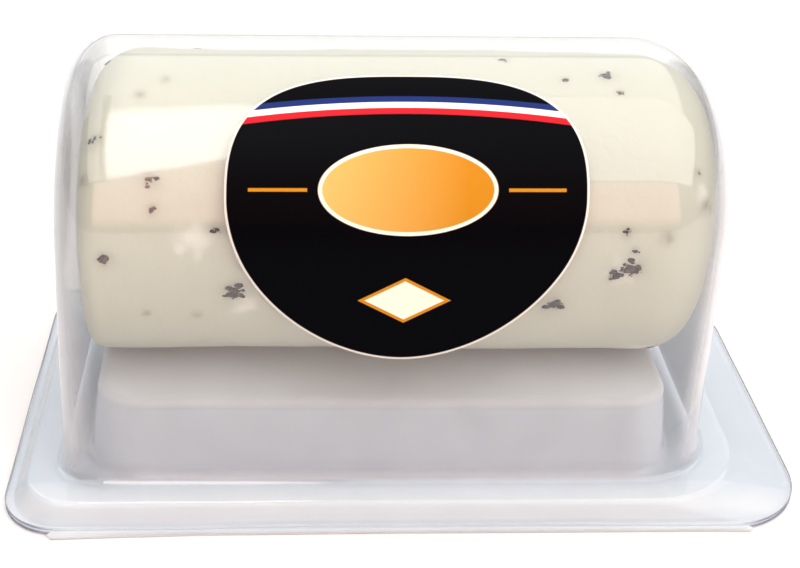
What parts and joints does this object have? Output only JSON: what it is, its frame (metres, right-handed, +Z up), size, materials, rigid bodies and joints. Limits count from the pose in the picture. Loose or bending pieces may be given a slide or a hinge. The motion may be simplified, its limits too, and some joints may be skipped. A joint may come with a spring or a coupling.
{
  "type": "goat cheese log in a clear pack",
  "caption": "Soft white goat cheese log with dark truffle flecks, lying in a shut clear pack with a vaulted hood, a wide flange and a black egg-shaped label.",
  "frame": {"origin": "middle of the pack's footprint, on the surface that it stands on", "axes": "+X along the log towards its right end, +Y away from the labelled front, +Z up"},
  "size_m": [0.1142, 0.064, 0.0606],
  "materials": {
    "tray_plastic": "translucent thermoformed sheet",
    "cheese": "soft moist paste with dark truffle flecks",
    "lid_plastic": "clear hazy thermoformed sheet, glossy",
    "label_film": "printed film sticker, satin gloss"
  },
  "bodies": {
    "root": {"tray": "tray_plastic", "cheese_log": "cheese", "lid": "lid_plastic", "label": "label_film"}
  },
  "joints": []
}
